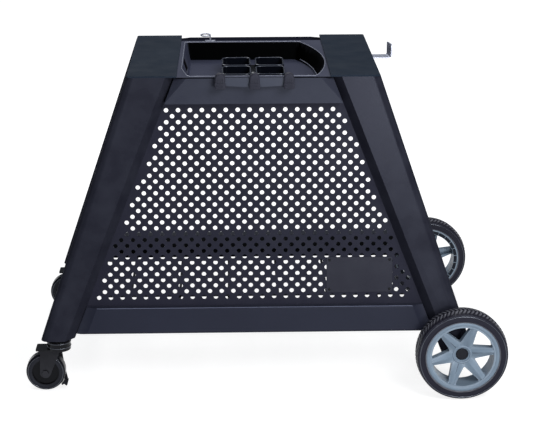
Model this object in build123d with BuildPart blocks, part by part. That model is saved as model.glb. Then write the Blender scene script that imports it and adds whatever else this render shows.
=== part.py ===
"""Grill cart: a folded sheet steel stand with splayed legs, on two casters and two wheels.

Millimetres, +Z up, floor at Z = 0, front towards -Y, wheels on the +X side.
The origin lies on the floor below the middle of the cart's overall length.
"""
import os
from math import atan, cos, radians, sin, sqrt

from build123d import *

# Frame
top_z = 648.0
top_half_depth = 209.0
top_half_length = 250.2
leg_splay = 0.346
leg_lean = 0.105
running_gap = 0.06
seat_gap = 0.3

# Legs, folded from sheet, wide at the top and narrow at the foot
leg_top_width = 95.7
leg_taper = 0.052
leg_depth = 58.0
leg_wall = 2.0
leg_round = 16.0
leg_bevel_width = 17.0
leg_bevel_depth = 22.0
right_foot_z = 66.0
plug_height = 20.0
plug_clearance = 0.2

# End plates on top of the legs
plate_thickness = 3.0
plate_inner_half = 152.0
plate_corner = 5.0
plate_edge = 1.0

# Aprons under the tray's rim, long rails at the foot, tubes across the ends
sheet = 2.0
apron_height = 50.0
apron_depth = 28.0
apron_crease_top = 133.0
apron_crease_bottom = 177.5
apron_fold_back = 12.0
rail_bottom_z = 123.0
rail_height = 55.0
rail_depth = 30.0
rail_setback = 10.0
rail_fold_length = 20.0
rail_fold_back = 8.0
rail_round = 5.0
end_tube_width = 25.0
end_tube_wall = 2.0
end_beam_height = 40.0
bolt_flats = 10.0
bolt_head = 4.0
bolt_spacing = 26.0

# Perforated front panel
panel_setback = 22.0
panel_flange = 12.0
panel_sheet = 1.6
hole_pitch = 36.0
hole_radius = 7.6
hole_sides = 6
hole_end_margin = 18.0
hole_side_margin = 8.0

# Tray pressed into the top
tray_sheet = 2.0
tray_rim_gap = 1.5
tray_depth = 40.0
tray_rim_back = 160.0
tray_left = 146.0
tray_back = 147.0
tray_back_right = 105.0
tray_right = 150.0
tray_right_y = -26.0
tray_shoulder_y = -125.0
tray_front = 200.0
tray_front_left = 132.0
tray_front_right = 126.0
tray_corner = 10.0
tray_floor_round = 6.0
tray_draft = 18.0
hand_slot_length = 50.0
hand_slot_height = 24.0
hand_slot_drop = 18.0
hand_slot_y = -16.0
hand_slot_corner = 4.0

# Moulded caddy on the tray's floor
caddy_x = 1.5
caddy_y = -19.0
caddy_length = 130.0
caddy_width = 165.0
caddy_base = 4.0
caddy_height = 20.0
caddy_channel = 9.0
caddy_wall = 3.0
caddy_corner = 12.0
caddy_screw_radius = 3.8
caddy_screw_head = 2.6

# Tool band with its moulded hooks, on the front apron
hook_x = 1.5
hook_pitch = 67.6
hook_count = 3
hook_width = 20.5
hook_depth = 22.0
hook_drop = 19.0
hook_rise = 10.0
hook_tongue = 12.0
hook_tongue_width = 12.0
hook_edge = 4.0
hook_ribs = 3
hook_rib_pitch = 4.5
hook_rib_width = 1.4
hook_rib_depth = 1.0
band_height = 14.0
band_sag = 4.5
band_thickness = 2.0
band_stand_off = 12.0
band_overhang = 8.0
band_drop = -1.0
band_slot_gap = 0.15

# Bare badge plate on the panel
badge_x = 212.5
badge_z = 239.5
badge_length = 134.0
badge_height = 73.0
badge_thickness = 1.5
badge_corner = 5.0
rivet_inset = 6.0
rivet_radius = 2.6
rivet_head = 1.4

# Side hanger and wire eye
hanger_y = -12.0
hanger_width = 33.0
hanger_skew = 0.19
hanger_reach = 40.0
hanger_rise = 28.0
hanger_bend = 5.0
hanger_root = 20.0
eye_x = -99.0
eye_y = 153.5
eye_radius = 10.0
eye_wire = 1.6
eye_tilt = 4.0
eye_height = 11.0
eye_tab_length = 22.0
eye_tab_width = 9.0
eye_tab_thickness = 2.0

# Wire shelf
wire_radius = 3.0
wire_weld = 0.5
shelf_wire_pitch = 106.0
shelf_wires = 6
shelf_rod_pitch = 116.0
shelf_rods = 4
shelf_rod_overhang = 62.0

# Wheels and their axle
axle_offset = 7.5
wheel_radius = 93.5
tyre_width = 48.0
tyre_inner_radius = 74.0
tyre_shoulder = 7.0
tyre_fit = 0.15
wheel_stand_off = 6.0
axle_radius = 6.0
axle_hole_gap = 0.2
hub_setback = 2.0
hub_width = 44.0
hub_rim = 11.0
hub_boss_radius = 17.0
hub_dish = 16.0
hub_web = 14.0
hub_web_setback = 3.0
spokes = 6
spoke_start = 10.5
window_inner_radius = 26.0
window_half_angle = 23.5
window_corner = 2.5
spoke_pocket_width = 7.0
spoke_pocket_inner = 26.0
spoke_pocket_wall = 4.0
cap_radius = 12.0
cap_clearance = 1.0
cap_depth = 8.0
cap_floor = 3.0
cap_edge = 1.5
spacer_radius = 10.0

# Casters
caster_height = 113.0
caster_trail = 28.5
caster_radius = 40.0
caster_tread = 26.0
caster_core_radius = 31.0
caster_shoulder = 5.0
caster_dish = 4.0
caster_dish_inner = 11.0
caster_dish_outer = 27.0
stem_radius = 5.5
stem_length = 18.0
swivel_pin_radius = 7.0
race_flange_radius = 21.0
race_flange = 4.0
race_radius = 24.0
race_gap = 0.5
crown_thickness = 3.0
crown_clearance = 8.0
crown_overhang = 18.0
cheek_thickness = 2.5
cheek_clearance = 2.0
cheek_foot_radius = 11.0
cheek_lug_radius = 6.5
caster_axle_radius = 4.0
caster_nut_flats = 13.0
caster_nut = 4.0
brake_pivot_angle = -8.0
brake_pivot_radius = 31.0
brake_pin_radius = 2.5
brake_pin_head = 4.5
brake_pin_head_height = 1.5
brake_clearance = 1.7
brake_thickness = 3.0
brake_root_radius = 6.0
brake_tip_radius = 5.0
brake_angle = -36.0
brake_pad_span = 14.0
brake_pad_thickness = 3.5
brake_pad_reach = 9.0
brake_tab = 7.0
brake_tab_span = 4.0

# Derived places
lean_angle = atan(leg_lean)
plug_corner = leg_round - leg_wall
leg_top_z = top_z - plate_thickness
inner_splay = leg_splay + leg_taper
apron_top_z = leg_top_z - tray_sheet
apron_bottom_z = apron_top_z - apron_height
rail_top_z = rail_bottom_z + rail_height
tray_floor_z = leg_top_z - tray_depth + tray_sheet
caddy_base_z = tray_floor_z + caddy_base
band_half = hook_pitch * (hook_count - 1) / 2 + band_overhang
hub_radius = tyre_inner_radius - tyre_fit
window_outer_radius = hub_radius - hub_rim
race_top_z = caster_height - race_flange - race_gap
crown_bottom_z = 2 * caster_radius + crown_clearance
crown_top_z = crown_bottom_z + crown_thickness
cheek_inner_y = caster_tread / 2 + cheek_clearance
cheek_outer_y = cheek_inner_y + cheek_thickness
lever_inner_y = cheek_outer_y + seat_gap
lever_outer_y = lever_inner_y + brake_thickness
brake_inner_radius = caster_radius + brake_clearance
brake_outer_radius = brake_inner_radius + brake_pad_thickness

SIDES = {"left": -1, "right": 1}
ENDS = {"front": -1, "rear": 1}

os.makedirs("parts", exist_ok=True)


def outer_x(z):
    """Distance of the legs' outer edges from the frame's middle at height z."""
    return top_half_length + leg_splay * (top_z - z)


def inner_x(z):
    """Distance of the legs' inner edges from the frame's middle at height z."""
    return top_half_length - leg_top_width + inner_splay * (top_z - z)


def middle_x(z):
    """Distance of the legs' middles from the frame's middle at height z."""
    return (inner_x(z) + outer_x(z)) / 2


def foot_z(side):
    """Height of a leg's foot: the left legs stand on casters, the right ones reach past the axle."""
    return caster_height if side < 0 else right_foot_z


def face_y(z, setback=0.0):
    """Distance of the leaning front and rear faces from the middle at height z, less a setback."""
    return top_half_depth + leg_lean * (top_z - z) - setback


def up_slope(z):
    """Place of height z on a leaning face, measured along the slope from the top."""
    return (z - top_z) / cos(lean_angle)


def leaning(end, setback=0.0):
    """Sketch plane in a leaning face, with X from the frame's middle and Y up the slope."""
    normal = (0, -cos(lean_angle), -end * sin(lean_angle))
    return Plane(origin=(mid_x, end * (top_half_depth - setback), top_z), x_dir=(1, 0, 0), z_dir=normal)


def upright(y):
    """Upright sketch plane at y that faces -Y, with X from the frame's middle and Y for height."""
    return Plane(origin=(mid_x, y, 0), x_dir=(1, 0, 0), z_dir=(0, -1, 0))


def inward(end):
    """Level direction from a leaning face into the cart."""
    return (0, -end, 0)


def depth_axis(end):
    """Axis square to a leaning face, along which a piece's front comes first and its back last."""
    return Axis((0, 0, 0), (0, -end * cos(lean_angle), -sin(lean_angle)))


def leg_outline(side, low, high, inset=0.0):
    """Corners of a leg's front outline between two heights, drawn in by an inset."""
    return [
        (side * (inner_x(low) + inset), up_slope(low)),
        (side * (outer_x(low) - inset), up_slope(low)),
        (side * (outer_x(high) - inset), up_slope(high)),
        (side * (inner_x(high) + inset), up_slope(high)),
    ]


def span_outline(low, high):
    """Corners of the space between the legs' inner walls between two heights."""
    return [
        (-inner_x(low), up_slope(low)),
        (inner_x(low), up_slope(low)),
        (inner_x(high), up_slope(high)),
        (-inner_x(high), up_slope(high)),
    ]


wheel_x = middle_x(wheel_radius) + axle_offset
wheel_face_y = face_y(right_foot_z) + wheel_stand_off + tyre_width
caster_x = middle_x(caster_height)
caster_y = face_y(caster_height) - leg_depth / 2
# The casters and the wheels reach out unequally, so the frame stands off the overall middle
mid_x = (caster_x + caster_trail + caster_radius - wheel_x - wheel_radius) / 2


def is_steep(edge):
    """True for an edge that runs up a leg."""
    low, high = sorted(vertex.Z for vertex in edge.vertices())
    return high - low > plug_height / 2


def reach(edge):
    """Distance of an edge's middle from the frame's middle."""
    return abs(edge.center().X - mid_x)


def save(part, name):
    """Name a finished piece and write it."""
    part.label = name
    export_step(part, f"parts/{name}.step")


def make_leg_block(side, end, low, high, inset, outer_edge):
    """Leg-shaped block with worked outer edges and the long bevel on its inner outward edge."""
    with BuildPart() as block:
        with BuildSketch(leaning(end, inset)):
            with BuildLine():
                Polyline(*leg_outline(side, low, high, inset), close=True)
            make_face()
        extrude(amount=leg_depth - 2 * inset, dir=inward(end))
        outer_edge(block.edges().filter_by(is_steep).sort_by(reach)[-2:])
        face = block.faces().sort_by(depth_axis(end))[0]
        bevelled = block.edges().filter_by(is_steep).sort_by(reach)[:2].sort_by(depth_axis(end))[0]
        chamfer(bevelled, leg_bevel_width, leg_bevel_depth, reference=face)
    return block.part


def make_leg(side, end):
    """Tapered hollow leg; the right legs are drilled for the axle."""
    with BuildPart() as leg:
        add(make_leg_block(side, end, foot_z(side), leg_top_z, 0, lambda edges: fillet(edges, leg_round)))
        offset(amount=-leg_wall, openings=leg.faces().filter_by(Axis.Z))
        if side > 0:
            with BuildSketch(Plane(origin=(mid_x + wheel_x, 0, wheel_radius), z_dir=(0, end, 0))):
                Circle(axle_radius + axle_hole_gap)
            extrude(amount=wheel_face_y, mode=Mode.SUBTRACT)
    return leg.part


def make_plug(side, end):
    """Moulded plug in a leg's foot; the left ones take a caster's stem."""
    low = foot_z(side)
    inset = leg_wall + plug_clearance
    with BuildPart() as plug:
        block = make_leg_block(side, end, low, low + plug_height, inset, lambda edges: chamfer(edges, plug_corner))
        add(block)
        if side < 0:
            with Locations(Plane(origin=(mid_x - caster_x, end * caster_y, low), z_dir=(0, 0, -1))):
                Hole(stem_radius + running_gap, depth=plug_height)
    return plug.part


def make_top_plate(side):
    """Flat end plate over a pair of legs, with rounded outer corners."""
    with BuildPart() as plate:
        with BuildSketch(Plane.XY.offset(leg_top_z)):
            with Locations((mid_x + side * (plate_inner_half + top_half_length) / 2, 0)):
                Rectangle(top_half_length - plate_inner_half, 2 * top_half_depth)
        extrude(amount=plate_thickness)
        corners = plate.edges().filter_by(Axis.Z).sort_by(reach)[-2:]
        fillet(corners, plate_corner)
        fillet(plate.faces().sort_by(Axis.Z)[-1].edges(), plate_edge)
    return plate.part


def apron_facet(side, end):
    """Plane of the folded facet at an apron's end, facing outward."""
    top_y = end * face_y(apron_top_z)
    bottom_y = end * face_y(apron_bottom_z)
    top = Vector(mid_x + side * apron_crease_top, top_y, apron_top_z)
    bottom = Vector(mid_x + side * apron_crease_bottom, bottom_y, apron_bottom_z)
    back = Vector(mid_x + side * inner_x(apron_top_z), top_y - end * apron_fold_back, apron_top_z)
    normal = (bottom - top).cross(back - top)
    if normal.Y * end < 0:
        normal = -normal
    return Plane(origin=top, z_dir=normal)


def make_apron(end):
    """Folded apron under the tray's rim, with a facet at each end, open at its top and back."""
    with BuildPart() as apron:
        with BuildSketch(leaning(end)):
            with BuildLine():
                Polyline(*span_outline(apron_bottom_z, apron_top_z), close=True)
            make_face()
        extrude(amount=apron_depth, dir=inward(end))
        for side in SIDES.values():
            split(bisect_by=apron_facet(side, end), keep=Keep.BOTTOM)
        back = apron.faces().sort_by(depth_axis(end))[-1]
        offset(amount=-sheet, openings=[back, apron.faces().sort_by(Axis.Z)[-1]])
    return apron.part


def make_long_rail(end):
    """Channel rail between the feet, with folded-back ends, open towards the inside."""
    with BuildPart() as rail:
        with BuildSketch(leaning(end, rail_setback)):
            with BuildLine():
                Polyline(*span_outline(rail_bottom_z, rail_top_z), close=True)
            make_face()
        extrude(amount=rail_depth, dir=inward(end))
        face = rail.faces().sort_by(depth_axis(end))[0]
        chamfer(face.edges().filter_by(is_steep), rail_fold_length, rail_fold_back, reference=face)
        face = rail.faces().sort_by(depth_axis(end))[0]
        fillet(face.edges().filter_by(Axis.X), rail_round)
        offset(amount=-sheet, openings=rail.faces().sort_by(depth_axis(end))[-1])
    return rail.part


def make_end_tube(side, low, height):
    """Rectangular tube across one end of the cart, between its two legs."""
    middle_z = low + height / 2
    with BuildPart() as tube:
        with BuildSketch(upright(0)):
            with Locations((side * middle_x(middle_z), middle_z)):
                Rectangle(end_tube_width, height)
                Rectangle(end_tube_width - 2 * end_tube_wall, height - 2 * end_tube_wall, mode=Mode.SUBTRACT)
        extrude(amount=face_y(low), both=True)
        split(bisect_by=leaning(ENDS["front"], leg_depth), keep=Keep.BOTTOM)
        split(bisect_by=leaning(ENDS["rear"], leg_depth), keep=Keep.TOP)
    return tube.part


def hole_centres():
    """Staggered rows of holes that fill the panel's field."""
    centres = []
    place = up_slope(apron_bottom_z) - hole_end_margin
    row = 0
    while place > up_slope(rail_top_z) + hole_end_margin:
        limit = inner_x(top_z + place * cos(lean_angle)) - hole_side_margin - hole_radius
        x = hole_pitch / 2 if row % 2 == 0 else 0.0
        while x < limit:
            centres += [(x, place)] if x == 0 else [(-x, place), (x, place)]
            x += hole_pitch
        place -= hole_pitch / 2
        row += 1
    return centres


# Legs with their plugs
for side_name, side in SIDES.items():
    for end_name, end in ENDS.items():
        save(make_leg(side, end), f"leg_{end_name}_{side_name}")
        plug_name = f"caster_socket_{end_name}" if side < 0 else f"leg_plug_{end_name}"
        save(make_plug(side, end), plug_name)

# Top plates, end tubes, aprons and rails
for side_name, side in SIDES.items():
    save(make_top_plate(side), f"top_plate_{side_name}")
    save(make_end_tube(side, rail_bottom_z, rail_height), f"end_rail_{side_name}")
    beam_low = leg_top_z - plate_thickness - end_beam_height
    save(make_end_tube(side, beam_low, end_beam_height), f"end_beam_{side_name}")
for end_name, end in ENDS.items():
    save(make_apron(end), f"apron_{end_name}")
    save(make_long_rail(end), f"rail_{end_name}")

# Perforated front panel with a flange all round
with BuildPart() as front_panel:
    with BuildSketch(leaning(ENDS["front"], panel_setback)):
        with BuildLine():
            Polyline(*span_outline(rail_top_z, apron_bottom_z), close=True)
        make_face()
    extrude(amount=panel_flange, dir=inward(ENDS["front"]))
    offset(amount=-panel_sheet, openings=front_panel.faces().sort_by(depth_axis(ENDS["front"]))[-1])
    with BuildSketch(leaning(ENDS["front"], panel_setback)):
        with Locations(*hole_centres()):
            RegularPolygon(hole_radius, hole_sides)
    extrude(amount=panel_flange, dir=inward(ENDS["front"]), mode=Mode.SUBTRACT)
front_panel.part.label = "front_panel"
export_step(front_panel.part, "parts/front_panel.step")

# Bolts that hold the long rails to the legs, their heads inside the channels
with BuildPart() as rail_bolts:
    slope = sqrt(1 + inner_splay**2)
    for side in SIDES.values():
        for end in ENDS.values():
            for step in (-0.5, 0.5):
                bolt_z = rail_bottom_z + rail_height / 2 + step * bolt_spacing
                seat_x = side * (inner_x(bolt_z) - sheet * slope)
                bolt_y = end * face_y(bolt_z, rail_setback + rail_depth / 2)
                seat = Plane(origin=(mid_x + seat_x, bolt_y, bolt_z), z_dir=(-side, 0, -inner_splay))
                with BuildSketch(seat):
                    RegularPolygon(bolt_flats / 2, 6, major_radius=False)
                extrude(amount=bolt_head)
rail_bolts.part.label = "rail_bolts"
export_step(rail_bolts.part, "parts/rail_bolts.step")


def make_bowl(inset):
    """Tray bowl drawn in by an inset: straight left end, bowed right end, slanted left front corner."""
    with BuildPart() as bowl:
        with BuildSketch(Plane(origin=(mid_x, 0, leg_top_z))) as mouth:
            with BuildLine():
                Polyline(
                    (tray_back_right, tray_back),
                    (-tray_left, tray_back),
                    (-tray_left, tray_shoulder_y),
                    (-tray_front_left, -tray_front),
                    (tray_front_right, -tray_front),
                )
                ThreePointArc(
                    (tray_front_right, -tray_front),
                    (tray_right, tray_right_y),
                    (tray_back_right, tray_back),
                )
            make_face()
            fillet(mouth.vertices(), tray_corner)
            if inset:
                offset(amount=-inset, mode=Mode.REPLACE)
        extrude(amount=inset - tray_depth, taper=tray_draft)
        fillet(bowl.faces().sort_by(Axis.Z)[0].edges(), tray_floor_round - inset)
    return bowl.part


# Tray pressed from one sheet, its rim under the end plates
with BuildPart() as tray:
    rim_front = tray_rim_gap - top_half_depth
    with BuildSketch(Plane(origin=(mid_x, 0, apron_top_z))):
        with Locations((0, (rim_front + tray_rim_back) / 2)):
            Rectangle(2 * (inner_x(leg_top_z) - seat_gap), tray_rim_back - rim_front)
    extrude(amount=tray_sheet)
    add(make_bowl(0))
    add(make_bowl(tray_sheet), mode=Mode.SUBTRACT)
    slot_middle = (mid_x, hand_slot_y, leg_top_z - hand_slot_drop)
    with BuildSketch(Plane(origin=slot_middle, x_dir=(0, 1, 0), z_dir=(-1, 0, 0))):
        RectangleRounded(hand_slot_length, hand_slot_height, hand_slot_corner)
    extrude(amount=tray_left + tray_sheet, mode=Mode.SUBTRACT)
tray.part.label = "tray"
export_step(tray.part, "parts/tray.step")

# Caddy of four rounded cups on one base
cup_length = (caddy_length - caddy_channel) / 2
cup_width = (caddy_width - caddy_channel) / 2
with BuildPart() as caddy:
    with BuildSketch(Plane(origin=(mid_x + caddy_x, caddy_y, tray_floor_z))):
        RectangleRounded(caddy_length, caddy_width, caddy_corner)
    extrude(amount=caddy_base)
    with BuildSketch(Plane(origin=(mid_x + caddy_x, caddy_y, caddy_base_z))):
        with GridLocations(cup_length + caddy_channel, cup_width + caddy_channel, 2, 2):
            RectangleRounded(cup_length, cup_width, caddy_corner)
            RectangleRounded(
                cup_length - 2 * caddy_wall,
                cup_width - 2 * caddy_wall,
                caddy_corner - caddy_wall,
                mode=Mode.SUBTRACT,
            )
    extrude(amount=caddy_height - caddy_base)
caddy.part.label = "caddy"
export_step(caddy.part, "parts/caddy.step")

# Pan-head screw in the middle of the caddy
with BuildPart() as caddy_screw:
    with BuildSketch(Plane(origin=(mid_x + caddy_x, caddy_y, caddy_base_z))):
        Circle(caddy_screw_radius)
    extrude(amount=caddy_screw_head)
    fillet(caddy_screw.faces().sort_by(Axis.Z)[-1].edges(), caddy_screw_head / 2)
caddy_screw.part.label = "caddy_screw"
export_step(caddy_screw.part, "parts/caddy_screw.step")


# Tool band with a sagging lower edge, along the leaning front apron
band_top = up_slope(leg_top_z - band_drop)
band_low = band_top - band_height
band_face = leaning(ENDS["front"]).offset(band_stand_off)


def band_outline(grow):
    """Corners of the band's straight edges and the middle of its sagging one, grown for its slots."""
    left = hook_x - band_half - grow
    right = hook_x + band_half + grow
    low = band_low - grow
    top = band_top + grow
    straight = [(left, low), (left, top), (right, top), (right, low)]
    return straight, (hook_x, low - band_sag)


band_corners, band_sag_point = band_outline(0)
with BuildPart() as tool_band:
    with BuildSketch(band_face):
        with BuildLine():
            Polyline(*band_corners)
            ThreePointArc(band_corners[-1], band_sag_point, band_corners[0])
        make_face()
    extrude(amount=band_thickness)
tool_band.part.label = "tool_band"
export_step(tool_band.part, "parts/tool_band.step")

# Ribbed hooks that hang over the tray's front lip and hold the band
hook_low = up_slope(leg_top_z) - hook_drop
hook_shoulder = up_slope(leg_top_z) + hook_rise - hook_width / 2
hook_places = [hook_x + (index - (hook_count - 1) / 2) * hook_pitch for index in range(hook_count)]
hook_face = leaning(ENDS["front"])
with BuildPart() as tool_hooks:
    with BuildSketch(hook_face):
        for x in hook_places:
            with Locations((x, (hook_low + hook_shoulder) / 2)):
                Rectangle(hook_width, hook_shoulder - hook_low)
            with Locations((x, hook_shoulder)):
                Circle(hook_width / 2)
    extrude(amount=hook_depth)
    fronts = tool_hooks.faces().filter_by(GeomType.PLANE).group_by(depth_axis(ENDS["front"]))[0]
    fillet(fronts.edges(), hook_edge)
    with BuildSketch(hook_face.offset(hook_depth)):
        for x in hook_places:
            with Locations((x, (hook_low + hook_shoulder) / 2)):
                with GridLocations(hook_rib_pitch, 1, hook_ribs, 1):
                    Rectangle(hook_rib_width, hook_shoulder - hook_low)
    extrude(amount=-hook_rib_depth, mode=Mode.SUBTRACT)
    with BuildSketch(Plane(origin=(mid_x, sheet - top_half_depth, leg_top_z))):
        for x in hook_places:
            with Locations((x, 0)):
                Rectangle(hook_tongue_width, hook_tongue)
    extrude(amount=plate_thickness)
    slot_corners, slot_sag_point = band_outline(band_slot_gap)
    with BuildSketch(band_face.offset(-band_slot_gap)):
        with BuildLine():
            Polyline(*slot_corners)
            ThreePointArc(slot_corners[-1], slot_sag_point, slot_corners[0])
        make_face()
    extrude(amount=band_thickness + 2 * band_slot_gap, mode=Mode.SUBTRACT)
tool_hooks.part.label = "tool_hooks"
export_step(tool_hooks.part, "parts/tool_hooks.step")

# Bare badge plate and its rivets
badge_place = (badge_x, up_slope(badge_z))
with BuildPart() as badge_plate:
    with BuildSketch(leaning(ENDS["front"], panel_setback)):
        with Locations(badge_place):
            RectangleRounded(badge_length, badge_height, badge_corner)
    extrude(amount=badge_thickness)
badge_plate.part.label = "badge_plate"
export_step(badge_plate.part, "parts/badge_plate.step")

with BuildPart() as badge_rivets:
    with BuildSketch(leaning(ENDS["front"], panel_setback).offset(badge_thickness)):
        with Locations(badge_place):
            with GridLocations(badge_length - 2 * rivet_inset, badge_height - 2 * rivet_inset, 2, 2):
                Circle(rivet_radius)
    extrude(amount=rivet_head)
    heads = badge_rivets.faces().filter_by(GeomType.PLANE).group_by(depth_axis(ENDS["front"]))[0]
    fillet(heads.edges(), rivet_head / 2)
badge_rivets.part.label = "badge_rivets"
export_step(badge_rivets.part, "parts/badge_rivets.step")

# Bent strip that hangs tools or a side shelf from the right end
with BuildPart() as side_hanger:
    strip_z = leg_top_z - plate_thickness / 2
    strip_end = outer_x(leg_top_z) + hanger_reach - plate_thickness / 2
    strip_start = middle_x(strip_z) - hanger_root
    with BuildSketch(upright(hanger_y - hanger_width / 2)):
        with BuildLine():
            FilletPolyline(
                (strip_start, strip_z),
                (strip_end, strip_z),
                (strip_end, strip_z + hanger_rise),
                radius=hanger_bend,
            )
        trace(line_width=plate_thickness)
    extrude(amount=hanger_width, dir=(-hanger_skew, 1, 0))
side_hanger.part.label = "side_hanger"
export_step(side_hanger.part, "parts/side_hanger.step")

# Wire eye on the tray's rear rim
with BuildPart() as wire_eye:
    eye_z = top_z + eye_height
    tilt = radians(eye_tilt)
    with Locations(Plane(origin=(mid_x + eye_x, eye_y, eye_z), z_dir=(0, -sin(tilt), cos(tilt)))):
        Torus(eye_radius, eye_wire)
    with BuildSketch(Plane(origin=(mid_x + eye_x + eye_radius, eye_y, leg_top_z))):
        Circle(eye_wire)
    extrude(amount=eye_z - leg_top_z)
    with BuildSketch(Plane(origin=(mid_x + eye_x + eye_radius, eye_y, leg_top_z))):
        RectangleRounded(eye_tab_length, eye_tab_width, eye_wire)
    extrude(amount=eye_tab_thickness)
wire_eye.part.label = "wire_eye"
export_step(wire_eye.part, "parts/wire_eye.step")

# Welded wire shelf on the long rails' lower flanges
with BuildPart() as wire_shelf:
    wire_z = rail_bottom_z + sheet + wire_radius
    wire_half = face_y(wire_z + wire_radius, rail_setback + rail_round + seat_gap)
    rod_z = wire_z + 2 * wire_radius - wire_weld
    rod_half = shelf_wire_pitch * (shelf_wires - 1) / 2 + shelf_rod_overhang
    with BuildSketch(upright(0)):
        with Locations((0, wire_z)):
            with GridLocations(shelf_wire_pitch, 1, shelf_wires, 1):
                Circle(wire_radius)
    extrude(amount=wire_half, both=True)
    with BuildSketch(Plane(origin=(mid_x, 0, rod_z), x_dir=(0, 1, 0), z_dir=(1, 0, 0))):
        with GridLocations(shelf_rod_pitch, 1, shelf_rods, 1):
            Circle(wire_radius)
    extrude(amount=rod_half, both=True)
wire_shelf.part.label = "wire_shelf"
export_step(wire_shelf.part, "parts/wire_shelf.step")


def wheel_plane(end, depth=0.0):
    """Plane across a wheel's axis, at a depth inward from its outer face, facing inward."""
    origin = (mid_x + wheel_x, end * (wheel_face_y - depth), wheel_radius)
    return Plane(origin=origin, x_dir=(1, 0, 0), z_dir=(0, -end, 0))


def polar(radius, angle):
    """Point at a radius and an angle in degrees."""
    return (radius * cos(radians(angle)), radius * sin(radians(angle)))


def hub_cone(end, first, last):
    """Dished disc between two depths behind the hub's conical front."""
    rim_x = (window_outer_radius + hub_radius) / 2
    fall = (hub_dish - hub_web_setback) / (window_outer_radius - hub_boss_radius)
    centre_depth = hub_dish + fall * hub_boss_radius
    rim_depth = centre_depth - fall * rim_x
    section = Plane(origin=wheel_plane(end, hub_setback).origin, x_dir=(1, 0, 0), z_dir=(0, 0, -end))
    with BuildPart() as cone:
        with BuildSketch(section):
            with BuildLine():
                Polyline(
                    (0, centre_depth + first),
                    (rim_x, rim_depth + first),
                    (rim_x, rim_depth + last),
                    (0, centre_depth + last),
                    close=True,
                )
            make_face()
        revolve(axis=Axis(section.origin, (0, 1, 0)))
    return cone.part


def spoke_pockets(end):
    """Hollows in the backs of the spokes."""
    pocket_length = window_outer_radius - spoke_pocket_inner
    with BuildPart() as pockets:
        add(hub_cone(end, spoke_pocket_wall, hub_width))
        with BuildSketch(wheel_plane(end, hub_setback)):
            middle = spoke_pocket_inner + pocket_length / 2
            with PolarLocations(middle, spokes, start_angle=end * spoke_start):
                Rectangle(pocket_length, spoke_pocket_width)
        extrude(amount=2 * hub_width, mode=Mode.INTERSECT)
    return pockets.part


def make_hub(end):
    """Moulded six-spoke hub, dished, with triangular windows and hollow-backed spokes."""
    step = 360 / spokes
    with BuildPart() as hub:
        add(hub_cone(end, 0, hub_web))
        with BuildSketch(wheel_plane(end, hub_setback)) as windows:
            for index in range(spokes):
                middle = end * spoke_start + (index + 0.5) * step
                first = polar(window_outer_radius, middle - window_half_angle)
                last = polar(window_outer_radius, middle + window_half_angle)
                apex = polar(window_inner_radius, middle)
                with BuildLine():
                    Polyline(last, apex, first)
                    ThreePointArc(first, polar(window_outer_radius, middle), last)
                make_face()
            fillet(windows.vertices(), window_corner)
        extrude(amount=hub_width, mode=Mode.SUBTRACT)
        add(spoke_pockets(end), mode=Mode.SUBTRACT)
        with BuildSketch(wheel_plane(end, hub_setback)):
            Circle(hub_radius)
            Circle(window_outer_radius, mode=Mode.SUBTRACT)
        extrude(amount=hub_width)
        with BuildSketch(wheel_plane(end, hub_setback + hub_dish)):
            Circle(hub_boss_radius)
        extrude(amount=hub_width - hub_dish)
        with BuildSketch(wheel_plane(end, hub_setback)):
            Circle(axle_radius + running_gap)
        extrude(amount=hub_width, mode=Mode.SUBTRACT)
        with BuildSketch(wheel_plane(end, hub_setback)):
            Circle(cap_radius + cap_clearance)
        extrude(amount=hub_dish + cap_depth, mode=Mode.SUBTRACT)
    return hub.part


def make_tyre(end):
    """Rubber tyre with rounded shoulders."""
    with BuildPart() as tyre:
        with BuildSketch(wheel_plane(end)):
            Circle(wheel_radius)
            Circle(tyre_inner_radius, mode=Mode.SUBTRACT)
        extrude(amount=tyre_width)
        outer_edges = tyre.edges().filter_by(GeomType.CIRCLE).group_by(SortBy.RADIUS)[-1]
        fillet(outer_edges, tyre_shoulder)
    return tyre.part


def make_axle_cap(end):
    """Push-on cap over the axle's end."""
    with BuildPart() as cap:
        with BuildSketch(wheel_plane(end, hub_setback + hub_dish)):
            Circle(cap_radius)
        extrude(amount=cap_depth - seat_gap)
        fillet(cap.faces().sort_by(Axis.Y)[0 if end < 0 else -1].edges(), cap_edge)
        with BuildSketch(wheel_plane(end, hub_setback + hub_dish + cap_floor)):
            Circle(axle_radius + running_gap)
        extrude(amount=cap_depth, mode=Mode.SUBTRACT)
    return cap.part


def make_spacer(end):
    """Sleeve between a leg's leaning face and its wheel."""
    with BuildPart() as spacer:
        with BuildSketch(wheel_plane(end, hub_setback + hub_width + seat_gap)):
            Circle(spacer_radius)
            Circle(axle_radius + running_gap, mode=Mode.SUBTRACT)
        extrude(amount=leg_depth)
        split(bisect_by=leaning(end), keep=Keep.TOP if end < 0 else Keep.BOTTOM)
    return spacer.part


# Wheels and the parts on their axle
for end_name, end in ENDS.items():
    save(make_hub(end), f"wheel_hub_{end_name}")
    save(make_tyre(end), f"wheel_tyre_{end_name}")
    save(make_axle_cap(end), f"axle_cap_{end_name}")
    save(make_spacer(end), f"axle_spacer_{end_name}")

with BuildPart() as axle:
    with BuildSketch(Plane(origin=(mid_x + wheel_x, 0, wheel_radius), z_dir=(0, 1, 0))):
        Circle(axle_radius)
    extrude(amount=wheel_face_y - hub_setback - hub_dish - cap_floor - seat_gap, both=True)
axle.part.label = "axle"
export_step(axle.part, "parts/axle.step")


def caster_level(end, z):
    """Level sketch plane at a height, centred on a caster's swivel axis."""
    return Plane(origin=(mid_x - caster_x, end * caster_y, z))


def caster_side(end, y):
    """Upright sketch plane across a caster's wheel axis, y from the wheel's middle."""
    origin = (mid_x - caster_x, end * caster_y + y, 0)
    return Plane(origin=origin, x_dir=(1, 0, 0), z_dir=(0, -1, 0))


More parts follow.
